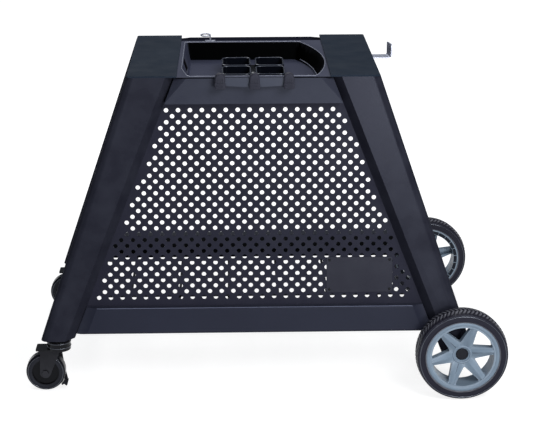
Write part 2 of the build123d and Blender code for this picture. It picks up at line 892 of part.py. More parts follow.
caster_centre = (-caster_trail, caster_radius)
pivot_offset = polar(brake_pivot_radius, brake_pivot_angle)
brake_pivot = (caster_centre[0] + pivot_offset[0], caster_centre[1] + pivot_offset[1])


def caster_polar(radius, angle):
    """Point about a caster's wheel centre."""
    offset_x, offset_z = polar(radius, angle)
    return (caster_centre[0] + offset_x, caster_centre[1] + offset_z)


def make_caster_stem(end):
    """Stem, race flange and swivel pin, fixed in the leg."""
    with BuildPart() as stem:
        with BuildSketch(caster_level(end, caster_height - race_flange)):
            Circle(race_flange_radius)
        extrude(amount=race_flange)
        with BuildSketch(caster_level(end, caster_height)):
            Circle(stem_radius)
        extrude(amount=stem_length)
        with BuildSketch(caster_level(end, caster_height - race_flange)):
            Circle(swivel_pin_radius)
        extrude(amount=crown_bottom_z - (caster_height - race_flange))
    return stem.part


def make_caster_fork(end):
    """Pressed fork: a crown with its race, and two tapering cheeks."""
    crown_end = caster_trail + crown_overhang
    with BuildPart() as fork:
        with BuildSketch(caster_level(end, crown_bottom_z)):
            Circle(race_radius)
            with Locations((-crown_end / 2, 0)):
                RectangleRounded(crown_end, 2 * cheek_outer_y, cheek_thickness)
        extrude(amount=crown_thickness)
        with BuildSketch(caster_level(end, crown_top_z)):
            Circle(race_radius)
        extrude(amount=race_top_z - crown_top_z)
        fillet(fork.faces().sort_by(Axis.Z)[-1].edges(), crown_thickness)
        for cheek_side in (-1, 1):
            with BuildSketch(caster_side(end, cheek_side * (cheek_inner_y + cheek_outer_y) / 2)):
                with Locations(caster_centre):
                    Circle(cheek_foot_radius)
                if cheek_side == -end:
                    with Locations(brake_pivot):
                        Circle(cheek_lug_radius)
                with Locations(((cheek_foot_radius - crown_end) / 2, crown_bottom_z - crown_thickness / 2)):
                    Rectangle(crown_end + cheek_foot_radius - crown_overhang, crown_thickness)
                make_hull()
            extrude(amount=cheek_thickness / 2, both=True)
        with BuildSketch(caster_level(end, crown_bottom_z)):
            Circle(swivel_pin_radius + running_gap)
        extrude(amount=caster_height, mode=Mode.SUBTRACT)
        with BuildSketch(caster_side(end, 0)):
            with Locations(caster_centre):
                Circle(caster_axle_radius + running_gap)
            with Locations(brake_pivot):
                Circle(brake_pin_radius + running_gap)
        extrude(amount=2 * cheek_outer_y, both=True, mode=Mode.SUBTRACT)
    return fork.part


def make_caster_core(end):
    """Moulded wheel core, dished on both faces."""
    with BuildPart() as core:
        with BuildSketch(caster_side(end, 0)):
            with Locations(caster_centre):
                Circle(caster_core_radius - tyre_fit)
                Circle(caster_axle_radius + running_gap, mode=Mode.SUBTRACT)
        extrude(amount=caster_tread / 2, both=True)
        for face_side in (-1, 1):
            with BuildSketch(caster_side(end, face_side * caster_tread / 2)):
                with Locations(caster_centre):
                    Circle(caster_dish_outer)
                    Circle(caster_dish_inner, mode=Mode.SUBTRACT)
            extrude(amount=face_side * caster_dish, mode=Mode.SUBTRACT)
    return core.part


def make_caster_tyre(end):
    """Hard tyre of a caster with rounded shoulders."""
    with BuildPart() as tyre:
        with BuildSketch(caster_side(end, 0)):
            with Locations(caster_centre):
                Circle(caster_radius)
                Circle(caster_core_radius, mode=Mode.SUBTRACT)
        extrude(amount=caster_tread / 2, both=True)
        outer_edges = tyre.edges().filter_by(GeomType.CIRCLE).group_by(SortBy.RADIUS)[-1]
        fillet(outer_edges, caster_shoulder)
    return tyre.part


def make_caster_axle(end):
    """Axle bolt with a hexagon at each cheek."""
    with BuildPart() as bolt:
        with BuildSketch(caster_side(end, 0)):
            with Locations(caster_centre):
                Circle(caster_axle_radius)
        extrude(amount=cheek_outer_y, both=True)
        for head_side in (-1, 1):
            with BuildSketch(caster_side(end, head_side * cheek_outer_y)):
                with Locations(caster_centre):
                    RegularPolygon(caster_nut_flats / 2, 6, major_radius=False)
            extrude(amount=-head_side * caster_nut)
    return bolt.part


def make_brake_pin(end):
    """Headed pin in the inner cheek that carries the brake lever."""
    with BuildPart() as pin:
        with BuildSketch(caster_side(end, -end * cheek_inner_y)):
            with Locations(brake_pivot):
                Circle(brake_pin_radius)
        extrude(amount=end * (lever_outer_y + seat_gap - cheek_inner_y))
        with BuildSketch(caster_side(end, -end * (lever_outer_y + seat_gap))):
            with Locations(brake_pivot):
                Circle(brake_pin_head)
        extrude(amount=end * brake_pin_head_height)
    return pin.part


def make_brake(end):
    """Brake lever: a plate on the pin, a curved pad across the tread and a tab for the foot."""
    pad_first = brake_angle - brake_pad_span / 2
    pad_last = brake_angle + brake_pad_span / 2
    tab_radius = brake_outer_radius + brake_tab
    with BuildPart() as brake:
        with BuildSketch(caster_side(end, -end * lever_inner_y)):
            with Locations(brake_pivot):
                Circle(brake_root_radius)
            with Locations(caster_polar(brake_outer_radius, brake_angle)):
                Circle(brake_tip_radius)
            make_hull()
            with Locations(brake_pivot):
                Circle(brake_pin_radius + running_gap, mode=Mode.SUBTRACT)
        extrude(amount=end * brake_thickness)
        with BuildSketch(caster_side(end, -end * lever_outer_y)):
            with BuildLine():
                CenterArc(caster_centre, brake_inner_radius, pad_first, brake_pad_span)
                Line(caster_polar(brake_inner_radius, pad_last), caster_polar(brake_outer_radius, pad_last))
                CenterArc(caster_centre, brake_outer_radius, pad_last, -brake_pad_span)
                Line(caster_polar(brake_outer_radius, pad_first), caster_polar(brake_inner_radius, pad_first))
            make_face()
            with BuildLine():
                Polyline(
                    caster_polar(brake_inner_radius, brake_angle - brake_tab_span / 2),
                    caster_polar(tab_radius, brake_angle - brake_tab_span / 2),
                    caster_polar(tab_radius, brake_angle + brake_tab_span / 2),
                    caster_polar(brake_inner_radius, brake_angle + brake_tab_span / 2),
                    close=True,
                )
            make_face()
        extrude(amount=-end * (lever_outer_y + brake_pad_reach))
    return brake.part


# Casters
for end_name, end in ENDS.items():
    save(make_caster_stem(end), f"caster_stem_{end_name}")
    save(make_caster_fork(end), f"caster_fork_{end_name}")
    save(make_caster_core(end), f"caster_core_{end_name}")
    save(make_caster_tyre(end), f"caster_tyre_{end_name}")
    save(make_caster_axle(end), f"caster_axle_{end_name}")
    save(make_brake_pin(end), f"caster_brake_pin_{end_name}")
    save(make_brake(end), f"caster_brake_{end_name}")
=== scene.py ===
"""Looks of the grill cart: finishes, perforation, treaded tyres, ridged hubs, light and camera."""
import math

import bmesh
import bpy
from mathutils import Matrix, Vector


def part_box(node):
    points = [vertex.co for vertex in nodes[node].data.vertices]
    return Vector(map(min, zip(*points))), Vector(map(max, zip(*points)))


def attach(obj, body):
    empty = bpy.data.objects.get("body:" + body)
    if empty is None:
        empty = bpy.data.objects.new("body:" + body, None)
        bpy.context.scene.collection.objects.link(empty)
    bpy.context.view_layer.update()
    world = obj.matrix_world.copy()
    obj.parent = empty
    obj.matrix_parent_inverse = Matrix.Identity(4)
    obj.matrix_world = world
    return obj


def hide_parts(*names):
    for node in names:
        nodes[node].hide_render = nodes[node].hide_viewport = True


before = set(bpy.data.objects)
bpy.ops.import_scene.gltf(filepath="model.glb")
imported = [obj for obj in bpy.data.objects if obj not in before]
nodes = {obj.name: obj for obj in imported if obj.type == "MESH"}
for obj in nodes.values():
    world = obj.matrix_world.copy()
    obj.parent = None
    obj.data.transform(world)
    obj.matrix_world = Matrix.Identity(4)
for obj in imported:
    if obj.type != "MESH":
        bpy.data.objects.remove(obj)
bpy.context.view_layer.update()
MM = 0.001


# Shader nodes

# The colour sockets of a Mix node
MIX_FACTOR, MIX_A, MIX_B, MIX_RESULT = 0, 6, 7, 2


def noise(tree, where, scale, detail):
    """Soft noise over the object's own coordinates."""
    node = tree.nodes.new("ShaderNodeTexNoise")
    node.inputs["Scale"].default_value = scale
    node.inputs["Detail"].default_value = detail
    tree.links.new(where, node.inputs["Vector"])
    return node.outputs["Fac"]


def ramp(tree, value, start, end, low, high):
    """Stretches one range of a value onto another, and stops at its ends."""
    node = tree.nodes.new("ShaderNodeMapRange")
    node.inputs["From Min"].default_value = start
    node.inputs["From Max"].default_value = end
    node.inputs["To Min"].default_value = low
    node.inputs["To Max"].default_value = high
    tree.links.new(value, node.inputs["Value"])
    return node.outputs[0]


def calculate(tree, operation, *values):
    """A sum, product, maximum or the like of one or two values."""
    node = tree.nodes.new("ShaderNodeMath")
    node.operation = operation
    for value, socket in zip(values, node.inputs):
        tree.links.new(value, socket)
    return node.outputs[0]


def cover(tree, amount, under, color):
    """A plain colour laid over another one."""
    node = tree.nodes.new("ShaderNodeMix")
    node.data_type = "RGBA"
    node.inputs[MIX_B].default_value = color + (1.0,)
    tree.links.new(amount, node.inputs[MIX_FACTOR])
    tree.links.new(under, node.inputs[MIX_A])
    return node.outputs[MIX_RESULT]


def normal_part(tree, axis):
    """One coordinate of the surface's normal."""
    split = tree.nodes.new("ShaderNodeSeparateXYZ")
    tree.links.new(tree.nodes.new("ShaderNodeNewGeometry").outputs["Normal"], split.inputs[0])
    return split.outputs[axis]


# Finishes

COOL = (0.80, 0.87, 1.0)
DEEP = (0.74, 0.79, 1.0)
CLOUD_DETAIL = 5.0
SMEAR_DETAIL = 6.0
SMEAR_SCALE = 3.1
GRAIN_DETAIL = 3.0
GRAIN_DEPTH = 0.0004
SMOOTHEST = 0.03
GLOSS_START, GLOSS_END = 0.3, 0.7
# Painted shade: the way that walls in the shade face, and how far a wall turns that way before it is painted
# fully dark
SHADE_SIDE = (-0.62, -0.78, 0.0)
SHADE_START, SHADE_END = 0.20, 0.62
SHADE_COLOR = (0.0, 0.0, 0.0)
DUST_START, DUST_END = 0.75, 1.0
DUST_COLOR = (0.24, 0.235, 0.22)
WEAR_AND_HIGHLIGHT_START, WEAR_AND_HIGHLIGHT_END = 0.53, 0.62
SIDE_START, SIDE_END = 0.40, 0.70


def toned(color, factor):
    return tuple(min(1.0, c * factor) for c in color) + (1.0,)


def finish(name, color, rough, specular=0.5, tint=COOL, metallic=0.0, vary=0.18, vary_scale=7.0,
           grain=0.10, grain_scale=900.0, rough_vary=0.07, wear_and_highlight=0.0, wear_and_highlight_color=(0.12, 0.13, 0.17),
           dust=0.0, painted_shade_walls=0.0, rough_sides=0.0):
    """A procedural finish: cloudy colour, uneven gloss, fine grain, and if asked edge wear or painted
    highlight, dust, and painted shade on walls that face one way.
    """
    mat = bpy.data.materials.new(name)
    mat.use_nodes = True
    tree = mat.node_tree
    new, link = tree.nodes.new, tree.links.new
    shader = tree.nodes["Principled BSDF"]
    shader.inputs["Metallic"].default_value = metallic
    shader.inputs["Specular IOR Level"].default_value = specular
    shader.inputs["Specular Tint"].default_value = tint + (1.0,)
    where = new("ShaderNodeTexCoord").outputs["Object"]
    smear = noise(tree, where, vary_scale * SMEAR_SCALE, SMEAR_DETAIL)

    mottle = new("ShaderNodeMix")
    mottle.data_type = "RGBA"
    mottle.inputs[MIX_A].default_value = toned(color, 1.0 - vary)
    mottle.inputs[MIX_B].default_value = toned(color, 1.0 + vary)
    link(noise(tree, where, vary_scale, CLOUD_DETAIL), mottle.inputs[MIX_FACTOR])
    paint = mottle.outputs[MIX_RESULT]
    # Painted shade: walls that face SHADE_SIDE are painted black, standing in for the shade that falls on
    # them
    if painted_shade_walls:
        away = new("ShaderNodeVectorMath")
        away.operation = "DOT_PRODUCT"
        away.inputs[1].default_value = SHADE_SIDE
        link(new("ShaderNodeNewGeometry").outputs["Normal"], away.inputs[0])
        dark = ramp(tree, away.outputs["Value"], SHADE_START, SHADE_END, 0.0, painted_shade_walls)
        paint = cover(tree, dark, paint, SHADE_COLOR)
    if dust:
        settled = ramp(tree, normal_part(tree, "Z"), DUST_START, DUST_END, 0.0, dust)
        paint = cover(tree, calculate(tree, "MULTIPLY", settled, smear), paint, DUST_COLOR)
    # Lighter colour on sharp edges: real wear on most finishes, and painted highlight on the tyres' tread
    # and the hubs' edges
    if wear_and_highlight:
        edge = new("ShaderNodeNewGeometry").outputs["Pointiness"]
        rubbed_or_highlit = ramp(tree, edge, WEAR_AND_HIGHLIGHT_START, WEAR_AND_HIGHLIGHT_END, 0.0, wear_and_highlight)
        paint = cover(tree, calculate(tree, "MULTIPLY", rubbed_or_highlit, smear), paint, wear_and_highlight_color)
    link(paint, shader.inputs["Base Color"])

    smoothest = max(SMOOTHEST, rough - rough_vary)
    matt = ramp(tree, smear, GLOSS_START, GLOSS_END, smoothest, min(1.0, rough + rough_vary))
    if rough_sides:
        sideways = calculate(tree, "ABSOLUTE", normal_part(tree, "X"))
        coarse = ramp(tree, sideways, SIDE_START, SIDE_END, 0.0, rough_sides)
        matt = calculate(tree, "ADD", matt, coarse)
    link(matt, shader.inputs["Roughness"])

    bump = new("ShaderNodeBump")
    bump.inputs["Strength"].default_value = grain
    bump.inputs["Distance"].default_value = GRAIN_DEPTH
    link(noise(tree, where, grain_scale, GRAIN_DETAIL), bump.inputs["Height"])
    link(bump.outputs["Normal"], shader.inputs["Normal"])
    return mat


coat_frame = finish("satin_powder_coat", (0.0158, 0.0174, 0.0315), 0.42, specular=0.14,
                    rough_vary=0.04, grain=0.10, wear_and_highlight=0.25, dust=0.02)
# The legs' coat is the frame's powder coat painted darker: painted shade for how the light falls on the legs
coat_leg_painted_shade = finish("smooth_powder_coat_painted_shade", (0.0052, 0.0050, 0.0112), 0.28, specular=0.088, tint=DEEP,
                  vary=0.10, rough_vary=0.025, grain=0.08, wear_and_highlight=0.25, dust=0.02, rough_sides=0.65)
# The rear rail's powder coat with painted shade: its faces turned to the front are painted black, as if in
# shadow
coat_rear_painted_shade = finish("rear_rail_coat_painted_shade", (0.013, 0.0145, 0.026), 0.42, specular=0.10, grain=0.10,
                    wear_and_highlight=0.2, dust=0.02, painted_shade_walls=0.97)
coat_plate = finish("matt_top_coat", (0.0120, 0.0200, 0.0340), 0.74, specular=0.08, grain=0.12,
                    wear_and_highlight=0.15)
coat_panel = finish("rough_powder_coat", (0.0122, 0.0120, 0.0232), 0.52, specular=0.15, grain=0.40,
                    grain_scale=520.0)
# The tray's walls that face the front are painted black: painted shade inside the well
coat_tray = finish("tray_coat_painted_shade", (0.050, 0.055, 0.088), 0.50, specular=0.02, grain=0.08,
                   wear_and_highlight=0.3, wear_and_highlight_color=(0.20, 0.21, 0.26), dust=0.02, painted_shade_walls=1.0)
# A light colour on the tray's rolled edge and floor line: painted highlight
coat_edge_highlight = finish("rolled_edge_painted_highlight", (0.210, 0.222, 0.285), 0.28, specular=0.5, grain=0.05)
# A light colour on the rails' top lips: painted highlight
coat_lip_highlight = finish("rail_lip_painted_highlight", (0.120, 0.132, 0.195), 0.25, specular=0.4, grain=0.05)
coat_wire = finish("wire_coat", (0.008, 0.008, 0.012), 0.42, specular=0.2, grain=0.1, wear_and_highlight=0.15)
badge_coat = finish("badge_coat", (0.0140, 0.0134, 0.0228), 0.46, specular=0.21, grain=0.22,
                    grain_scale=700.0)
zinc = finish("zinc_plate", (0.46, 0.46, 0.45), 0.36, metallic=1.0, vary=0.12, vary_scale=60.0,
              grain=0.08)
hanger_steel = finish("hanger_steel", (0.45, 0.465, 0.54), 0.34, metallic=0.6, vary=0.2,
                      vary_scale=30.0, grain=0.1)
plug_plastic = finish("plug_plastic", (0.006, 0.006, 0.008), 0.5, specular=0.1, grain=0.2)
caddy_plastic = finish("caddy_plastic", (0.004, 0.005, 0.009), 0.20, specular=0.30, grain=0.05,
                       rough_vary=0.05)
# The caddy's rims are the caddy's plastic painted lighter: painted highlight
caddy_rim_highlight = finish("caddy_rim_painted_highlight", (0.034, 0.039, 0.056), 0.22, specular=0.45, grain=0.05)
hook_plastic = finish("hook_plastic", (0.025, 0.025, 0.037), 0.62, specular=0.24, grain=0.2,
                      wear_and_highlight=0.3, wear_and_highlight_color=(0.10, 0.10, 0.13))
band_coat = finish("band_coat", (0.027, 0.031, 0.050), 0.36, specular=0.19, grain=0.08, wear_and_highlight=0.3)
# The hub's light edge colour is painted highlight on the edges of spokes and rims
hub_plastic = finish("hub_plastic", (0.188, 0.250, 0.322), 0.40, specular=0.40, vary=0.16,
                     vary_scale=45.0, grain=0.14, wear_and_highlight=0.55, wear_and_highlight_color=(0.46, 0.54, 0.62))
# Near-black plastic for the crest grooves and the hub's back recess: painted shade
hub_painted_shade = finish("hub_painted_shade", (0.014, 0.017, 0.024), 0.55, specular=0.12, grain=0.1)
cap_plastic = finish("cap_plastic", (0.007, 0.007, 0.010), 0.34, specular=0.20, grain=0.1, wear_and_highlight=0.3)
# The tyre's light edge colour is painted highlight on the edges of the tread blocks and shoulders
tyre_rubber = finish("tyre_rubber", (0.0115, 0.0108, 0.0190), 0.44, specular=0.20, vary=0.2,
                     vary_scale=30.0, grain=0.18, wear_and_highlight=1.0, wear_and_highlight_color=(0.66, 0.67, 0.76), dust=0.02)
tyre_shine = finish("tyre_shoulder_rubber", (0.018, 0.018, 0.030), 0.16, specular=0.9, vary=0.2,
                    vary_scale=30.0, grain=0.08)
caster_metal = finish("caster_metal", (0.0040, 0.0034, 0.0038), 0.20, specular=0.16, grain=0.05,
                      wear_and_highlight=0.35, wear_and_highlight_color=(0.10, 0.10, 0.12))
caster_plastic = finish("caster_plastic", (0.0040, 0.0034, 0.0040), 0.22, specular=0.13, grain=0.05,
                        wear_and_highlight=0.30)
caster_tread = finish("caster_tread", (0.0045, 0.0045, 0.0070), 0.26, specular=0.16, grain=0.10,
                      wear_and_highlight=0.30)
# Glossy beads on the casters, coloured lighter than the caster metal: real polish and partly painted
# highlight
caster_painted_glint = finish("caster_polish_and_glint", (0.020, 0.020, 0.028), 0.12, specular=1.0, vary=0.2,
                      vary_scale=40.0, grain=0.04)

# The first beginning that fits a node's name gives its finish
by_name = [
    ("top_plate", coat_plate), ("leg_plug", plug_plastic), ("leg_", coat_leg_painted_shade), ("apron", coat_frame),
    ("rail_bolts", zinc), ("rail_rear", coat_rear_painted_shade), ("rail", coat_frame), ("end_", coat_frame),
    ("front_panel", coat_panel), ("tray", coat_tray), ("caddy_screw", zinc), ("caddy", caddy_plastic),
    ("tool_band", band_coat), ("tool_hooks", hook_plastic), ("badge_rivets", caster_metal),
    ("badge_plate", badge_coat), ("side_hanger", hanger_steel), ("wire_eye", hanger_steel),
    ("wire_shelf", coat_wire), ("axle_cap", cap_plastic), ("axle", zinc), ("wheel_hub", hub_plastic),
    ("wheel_tyre", tyre_rubber), ("caster_socket", plug_plastic), ("caster_core", caster_plastic),
    ("caster_tyre", caster_tread), ("caster_brake_pin", caster_metal),
    ("caster_brake", caster_plastic), ("caster_", caster_metal),
]

for node_name, node in nodes.items():
    for prefix, mat in by_name:
        if node_name.startswith(prefix):
            node.data.materials.clear()
            node.data.materials.append(mat)
            break


# Shapes that the pieces share

BEAD_SIDES = 8


def piece(name, bm, mat, body, sharp=35.0):
    """Turns a bmesh into a piece that rides on a body."""
    bmesh.ops.recalc_face_normals(bm, faces=bm.faces[:])
    for face in bm.faces:
        face.smooth = True
    for edge in bm.edges:
        edge.smooth = len(edge.link_faces) == 2 and edge.calc_face_angle(0.0) < math.radians(sharp)
    mesh = bpy.data.meshes.new(name)
    bm.to_mesh(mesh)
    bm.free()
    obj = bpy.data.objects.new(name, mesh)
    bpy.context.scene.collection.objects.link(obj)
    mesh.materials.append(mat)
    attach(obj, body)
    return obj


def turn(count):
    """Even angles round a circle."""
    return [math.tau * k / count for k in range(count)]


def band(bm, ring, following):
    """Faces between two matching rings."""
    count = len(ring)
    for j in range(count):
        bm.faces.new((ring[j], ring[(j + 1) % count], following[(j + 1) % count], following[j]))


def skin(bm, rings):
    """Closed skin over a row of matching rings, with a face at each end."""
    for ring, following in zip(rings, rings[1:]):
        band(bm, ring, following)
    bm.faces.new(rings[0][::-1])
    bm.faces.new(rings[-1])


def wrap(bm, rings):
    """Closed skin over matching rings that come round to the first one again."""
    for ring, following in zip(rings, rings[1:] + rings[:1]):
        band(bm, ring, following)


def lathe(bm, x0, z0, section, segments=120):
    """A closed section, given as radius and Y, turned about a line along Y."""
    rings = []
    for angle in turn(segments):
        c, s = math.cos(angle), math.sin(angle)
        rings.append([bm.verts.new((x0 + r * c, y, z0 + r * s)) for r, y in section])
    wrap(bm, rings)


def bead_loop(bm, points, radius):
    """A round bead along a closed level loop."""
    rings = []
    for k, point in enumerate(points):
        ahead = (points[(k + 1) % len(points)] - points[k - 1]).normalized()
        across = Vector((ahead.y, -ahead.x, 0.0))
        ring = []
        for angle in turn(BEAD_SIDES):
            offset = math.cos(angle) * across + Vector((0.0, 0.0, math.sin(angle)))
            ring.append(bm.verts.new(point + radius * offset))
        rings.append(ring)
    wrap(bm, rings)


def bead_run(bm, points, radius):
    """A round bead along an open line, closed at its ends."""
    rings = []
    for k, point in enumerate(points):
        ahead = (points[min(k + 1, len(points) - 1)] - points[max(k - 1, 0)]).normalized()
        across = ahead.cross(Vector((0.0, 0.0, 1.0))).normalized()
        up = across.cross(ahead)
        ring = []
        for angle in turn(BEAD_SIDES):
            ring.append(bm.verts.new(point + radius * (math.cos(angle) * across + math.sin(angle) * up)))
        rings.append(ring)
    skin(bm, rings)


# Front panel

MID_X = -0.019876
TOP_Z = 0.648
TOP_HALF_DEPTH = 0.209
LEAN = 0.105
PANEL_SETBACK = 0.022
PANEL_SHEET = 0.0016
PANEL_FLANGE = 0.012
HOLE_PITCH = 0.02369
HOLE_ROW_PITCH = 0.01195
HOLE_RADIUS = 0.0045
HOLE_ROWS = 33
HOLE_TOP_Z = 0.576
HOLE_SIDES = 16
# Columns counted from the top row's left hole: the middle one, and the ends that the slopes let in
HOLE_MIDDLE = 7.345
HOLE_FIRST = -0.01
HOLE_LAST = 14.87
HOLE_FURTHEST = 20.6
HOLE_FIRST_SPREAD = 0.198
HOLE_LAST_SPREAD = 0.195
# How near to a level a vertex of the solids counts as on it
LEVEL_GAP = 0.05 * MM
PANEL_LEVEL_GAP = 0.4 * MM
RAIL_LEVEL_GAP = 0.6 * MM


def front_face_y(z, setback):
    """The leaning front faces' Y at a height."""
    return -(TOP_HALF_DEPTH + LEAN * (TOP_Z - z) - setback)


def hole_centres(slope):
    """Staggered rows of holes between the panel's sloping ends, as X and the place up the slope."""
    for row in range(HOLE_ROWS):
        along = HOLE_TOP_Z * slope - row * HOLE_ROW_PITCH
        first = HOLE_FIRST - HOLE_FIRST_SPREAD * row
        last = min(HOLE_LAST + HOLE_LAST_SPREAD * row, HOLE_FURTHEST)
        stagger = row % 2 / 2.0
        column = math.ceil(first - stagger) + stagger
        while column <= last:
            yield MID_X + (column - HOLE_MIDDLE) * HOLE_PITCH, along
            column += 1.0


def make_panel():
    """The panel with its full perforation: a sheet with round holes and a flange all round."""
    cad = nodes["front_panel"].data
    low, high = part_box("front_panel")
    ends = []
    for z in (low[2], high[2]):
        across = [v.co.x for v in cad.vertices if abs(v.co.z - z) < PANEL_LEVEL_GAP]
        ends.append((z, min(across), max(across)))
    (z0, left0, right0), (z1, left1, right1) = ends
    slope = math.hypot(1.0, LEAN)

    curve = bpy.data.curves.new("panel_flat", "CURVE")
    curve.dimensions = "2D"
    curve.fill_mode = "BOTH"
    curve.extrude = PANEL_SHEET / 2.0

    def loop(points):
        spline = curve.splines.new("POLY")
        spline.points.add(len(points) - 1)
        for point, (x, y) in zip(spline.points, points):
            point.co = (x, y, 0.0, 1.0)
        spline.use_cyclic_u = True

    loop([(left0, z0 * slope), (right0, z0 * slope), (right1, z1 * slope), (left1, z1 * slope)])
    for x, along in hole_centres(slope):
        loop([(x + HOLE_RADIUS * math.cos(a), along + HOLE_RADIUS * math.sin(a)) for a in turn(HOLE_SIDES)])
    flat = bpy.data.objects.new("panel_flat", curve)
    mesh = bpy.data.meshes.new_from_object(flat)
    bpy.data.objects.remove(flat)
    bm = bmesh.new()
    bm.from_mesh(mesh)
    bpy.data.meshes.remove(mesh)
    for v in bm.verts:
        z = v.co.y / slope
        v.co = Vector((v.co.x, front_face_y(z, PANEL_SETBACK) + PANEL_SHEET / 2.0 - v.co.z, z))
    bmesh.ops.remove_doubles(bm, verts=bm.verts[:], dist=0.001 * MM)

    def strip(*corners):
        """A flange strip behind the sheet's edge, from four corners in X and Z."""
        rings = []
        for depth in (PANEL_SHEET, PANEL_FLANGE):
            rings.append([bm.verts.new((x, front_face_y(z, PANEL_SETBACK) + depth, z)) for x, z in corners])
        skin(bm, rings)

    t = PANEL_SHEET
    strip((left0, z0), (right0, z0), (right0, z0 + t), (left0, z0 + t))
    strip((left1, z1 - t), (right1, z1 - t), (right1, z1), (left1, z1))
    strip((left0, z0 + t), (left0 + t, z0 + t), (left1 + t, z1 - t), (left1, z1 - t))
    strip((right0 - t, z0 + t), (right0, z0 + t), (right1, z1 - t), (right1 - t, z1 - t))
    panel = piece("panel_sheet", bm, coat_panel, "frame", sharp=40.0)
    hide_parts("front_panel")


# Large wheels

TYRE_DEPTH = 0.0195
TREAD_REPEATS = 72
TREAD_DEPTH = 0.0015
TREAD_CHEVRON = 1.4
# Zones across a tyre
WALL, TREAD, GROOVE = 0, 1, 2
# Half of a tyre's section, in from its face: rises above the bore, then drops below the outer radius
TYRE_BORE_EDGE = [(0.0010, 0.0), (0.0, 0.0010), (0.0, 0.0022), (0.0012, 0.0034)]
TYRE_SHOULDER = [(0.0014, 0.0090), (0.0014, 0.0050), (0.0018, 0.0038), (0.0026, 0.0030),
                 (0.0038, 0.0024), (0.0052, 0.0021)]
TYRE_TREAD = [(0.0056, 0.0021), (0.0130, 0.0009)]
# The groove round the tread's middle: half its width at the top and at the bottom
GROOVE_TOP, GROOVE_BOTTOM = 0.0022, 0.0018
# Steps of one repeat, as its share and whether the tread is cut away there
TREAD_STEPS = [(0.0, False), (0.30, False), (0.60, False), (0.64, True), (0.80, True), (0.96, True)]


def make_tyre(end):
    """A rubber tyre with rounded shoulders and a chevron tread cut into its radius."""
    low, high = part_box("wheel_tyre_" + end)
    centre = (low + high) / 2.0
    width = high[1] - low[1]
    half = width / 2.0
    outer = (high[2] - low[2]) / 2.0
    bore = outer - TYRE_DEPTH
    side = [(a, bore + rise, WALL) for a, rise in TYRE_BORE_EDGE]
    side += [(a, outer - drop, WALL) for a, drop in TYRE_SHOULDER]
    side += [(a, outer - drop, TREAD) for a, drop in TYRE_TREAD]
    side += [(half - GROOVE_TOP, outer, TREAD), (half - GROOVE_BOTTOM, outer, GROOVE)]
    section = side + [(width - a, r, zone) for a, r, zone in reversed(side)]
    bm = bmesh.new()
    columns = []
    for repeat in range(TREAD_REPEATS):
        for share, lowered in TREAD_STEPS:
            column = []
            for across, radius, zone in section:
                chevron = TREAD_CHEVRON if zone == WALL else TREAD_CHEVRON * abs(across - half) / half
                angle = math.tau * (repeat + share + chevron) / TREAD_REPEATS
                cut = zone == GROOVE or (zone == TREAD and lowered)
                r = radius - (TREAD_DEPTH if cut else 0.0)
                column.append(bm.verts.new((centre.x + r * math.cos(angle), low[1] + across,
                                            centre.z + r * math.sin(angle))))
            columns.append(column)
    wrap(bm, columns)
    tyre = piece("tyre_" + end, bm, tyre_rubber, "wheel_" + end, sharp=30.0)
    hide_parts("wheel_tyre_" + end)


SHINE = 0.0013
SHINE_INSET = 0.0068


def make_tyre_shine(end):
    """The smooth bead where a tyre's wall meets its shoulder, on both faces."""
    low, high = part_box("wheel_tyre_" + end)
    x0, z0 = (low[0] + high[0]) / 2.0, (low[2] + high[2]) / 2.0
    radius = (high[2] - low[2]) / 2.0 - SHINE_INSET
    bm = bmesh.new()
    for y in (low[1] + SHINE, high[1] - SHINE):
        round_section = [(radius + SHINE * math.cos(a), y + SHINE * math.sin(a)) for a in turn(BEAD_SIDES)]
        lathe(bm, x0, z0, round_section)
    piece("tyre_shine_" + end, bm, tyre_shine, "wheel_" + end, sharp=70.0)


SPOKES = 6
SPOKE_START = 10.5
HUB_APEX_DEPTH = 0.02282
HUB_FALL = 0.2835
SPOKE_LIFT = 0.0003
# Stations along a spoke: distance from the axle, half width of its roof, height of its crest
SPOKE_ROOF = [(0.0172, 0.0090, 0.0006), (0.0225, 0.0116, 0.0022), (0.0300, 0.0108, 0.0040),
              (0.0400, 0.0094, 0.0050), (0.0500, 0.0079, 0.0046), (0.0590, 0.0064, 0.0038),
              (0.0626, 0.0050, 0.0030)]
SPOKE_CREST = 0.0011
# The bend halfway down a roof: its share of the half width and of the crest's height
SPOKE_BEND, SPOKE_BEND_HEIGHT = 0.62, 0.52
GROOVE_FIRST, GROOVE_LAST = 0.0205, 0.0400
GROOVE_HALF_WIDTH = 0.0005
GROOVE_STEPS = 8
GROOVE_TAPER = 0.6
GROOVE_LID = 0.7
# Sections of the bead round the hub's rim and of the ring round the axle's cap: radius, depth
HUB_BEAD = [(0.0664, 0.0022), (0.0668, 0.0014), (0.0680, 0.0009), (0.0700, 0.0007), (0.0720, 0.0009),
            (0.0732, 0.0014), (0.0736, 0.0022)]
BOSS_RING = [(0.0150, 0.0196), (0.0154, 0.0166), (0.0164, 0.0150), (0.0178, 0.0147), (0.0190, 0.0154),
             (0.0198, 0.0178)]


def wheel_frame(end):
    """A wheel's outer face centre and the way out of it."""
    low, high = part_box("wheel_tyre_" + end)
    out = -1.0 if end == "front" else 1.0
    face = low[1] if end == "front" else high[1]
    return (low[0] + high[0]) / 2.0, face, (low[2] + high[2]) / 2.0, out


def crest_height(along):
    """The roof's crest at a distance from the axle."""
    for (a0, _, h0), (a1, _, h1) in zip(SPOKE_ROOF, SPOKE_ROOF[1:]):
        if along <= a1:
            return h0 + (h1 - h0) * max(0.0, along - a0) / (a1 - a0)
    return SPOKE_ROOF[-1][2]


